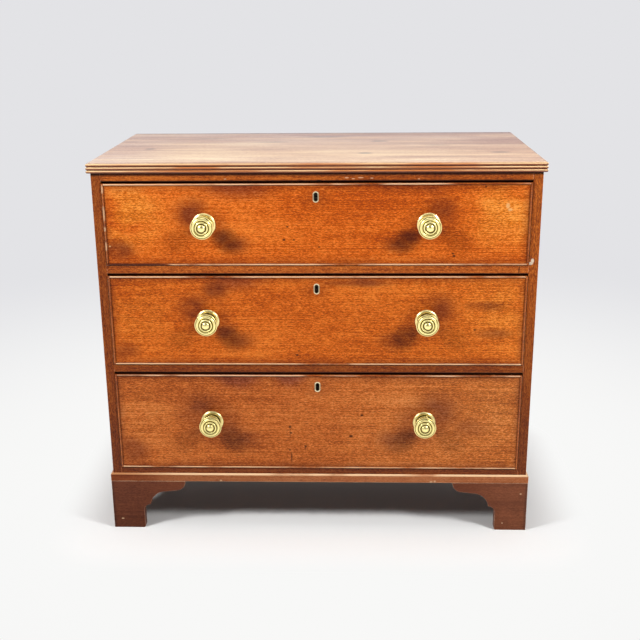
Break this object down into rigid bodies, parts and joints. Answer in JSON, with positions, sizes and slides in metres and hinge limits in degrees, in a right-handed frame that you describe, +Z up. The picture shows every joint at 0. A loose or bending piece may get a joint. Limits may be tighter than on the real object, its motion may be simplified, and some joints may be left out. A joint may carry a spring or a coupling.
{
  "type": "bachelors chest",
  "caption": "Low bachelor's chest: graduated drawers with cock-beaded fronts, turned brass knobs and locks, in a mahogany case with a reeded top, on bracket feet.",
  "frame": {"origin": "on the floor, at the middle of the whole chest's length and depth, knobs included", "axes": "+X to the right along the front, +Y from the drawer fronts to the back, +Z up"},
  "size_m": [0.9144, 0.512, 0.81],
  "materials": {
    "mahogany_top": "sun-faded waxed mahogany",
    "mahogany_case": "waxed mahogany",
    "mahogany_front": "polished mahogany",
    "mahogany_bead": "polished mahogany",
    "mahogany_foot": "worn waxed mahogany",
    "pine": "unfinished, darkened",
    "oak": "unfinished, aged",
    "brass": "polished, softly worn",
    "lock_iron": "filed and aged"
  },
  "bodies": {
    "carcass": {"top_board": "mahogany_top", "side_left": "mahogany_case", "side_right": "mahogany_case", "top_rail_front": "mahogany_case", "top_rail_back": "pine", "divider_upper": "mahogany_case", "divider_lower": "mahogany_case", "bottom_rail": "mahogany_case", "bottom_board": "pine", "dust_board_upper": "pine", "dust_board_lower": "pine", "drawer_runners": "pine", "kickers": "pine", "drawer_stops": "pine", "back_boards": "pine", "base_moulding_front": "mahogany_foot", "base_moulding_left": "mahogany_foot", "base_moulding_right": "mahogany_foot", "foot_bracket_front_left": "mahogany_foot", "foot_bracket_front_right": "mahogany_foot", "foot_brackets_side_left": "mahogany_foot", "foot_brackets_side_right": "mahogany_foot", "foot_brackets_rear": "pine", "foot_blocks": "pine"},
    "drawer_1": {"drawer_front_1": "mahogany_front", "drawer_side_left_1": "oak", "drawer_side_right_1": "oak", "drawer_back_1": "oak", "drawer_bottom_1": "oak", "cock_bead_1": "mahogany_bead", "knobs_1": "brass", "knob_roses_1": "brass", "escutcheon_1": "brass", "lock_1": "lock_iron"},
    "bolt_1": {"lock_bolt_1": "brass"},
    "drawer_2": {"drawer_front_2": "mahogany_front", "drawer_side_left_2": "oak", "drawer_side_right_2": "oak", "drawer_back_2": "oak", "drawer_bottom_2": "oak", "cock_bead_2": "mahogany_bead", "knobs_2": "brass", "knob_roses_2": "brass", "escutcheon_2": "brass", "lock_2": "lock_iron"},
    "bolt_2": {"lock_bolt_2": "brass"},
    "drawer_3": {"drawer_front_3": "mahogany_front", "drawer_side_left_3": "oak", "drawer_side_right_3": "oak", "drawer_back_3": "oak", "drawer_bottom_3": "oak", "cock_bead_3": "mahogany_bead", "knobs_3": "brass", "knob_roses_3": "brass", "escutcheon_3": "brass", "lock_3": "lock_iron"},
    "bolt_3": {"lock_bolt_3": "brass"}
  },
  "joints": [
    {"name": "top_drawer_slide", "type": "slide", "parent": "carcass", "child": "drawer_1", "axis": [0, -1, 0], "range_m": [0, 0.36]},
    {"name": "top_lock_bolt_throw", "type": "slide", "parent": "drawer_1", "child": "bolt_1", "axis": [0, 0, 1], "range_m": [0, 0.01]},
    {"name": "middle_drawer_slide", "type": "slide", "parent": "carcass", "child": "drawer_2", "axis": [0, -1, 0], "range_m": [0, 0.36]},
    {"name": "middle_lock_bolt_throw", "type": "slide", "parent": "drawer_2", "child": "bolt_2", "axis": [0, 0, 1], "range_m": [0, 0.01]},
    {"name": "bottom_drawer_slide", "type": "slide", "parent": "carcass", "child": "drawer_3", "axis": [0, -1, 0], "range_m": [0, 0.36]},
    {"name": "bottom_lock_bolt_throw", "type": "slide", "parent": "drawer_3", "child": "bolt_3", "axis": [0, 0, 1], "range_m": [0, 0.01]}
  ]
}
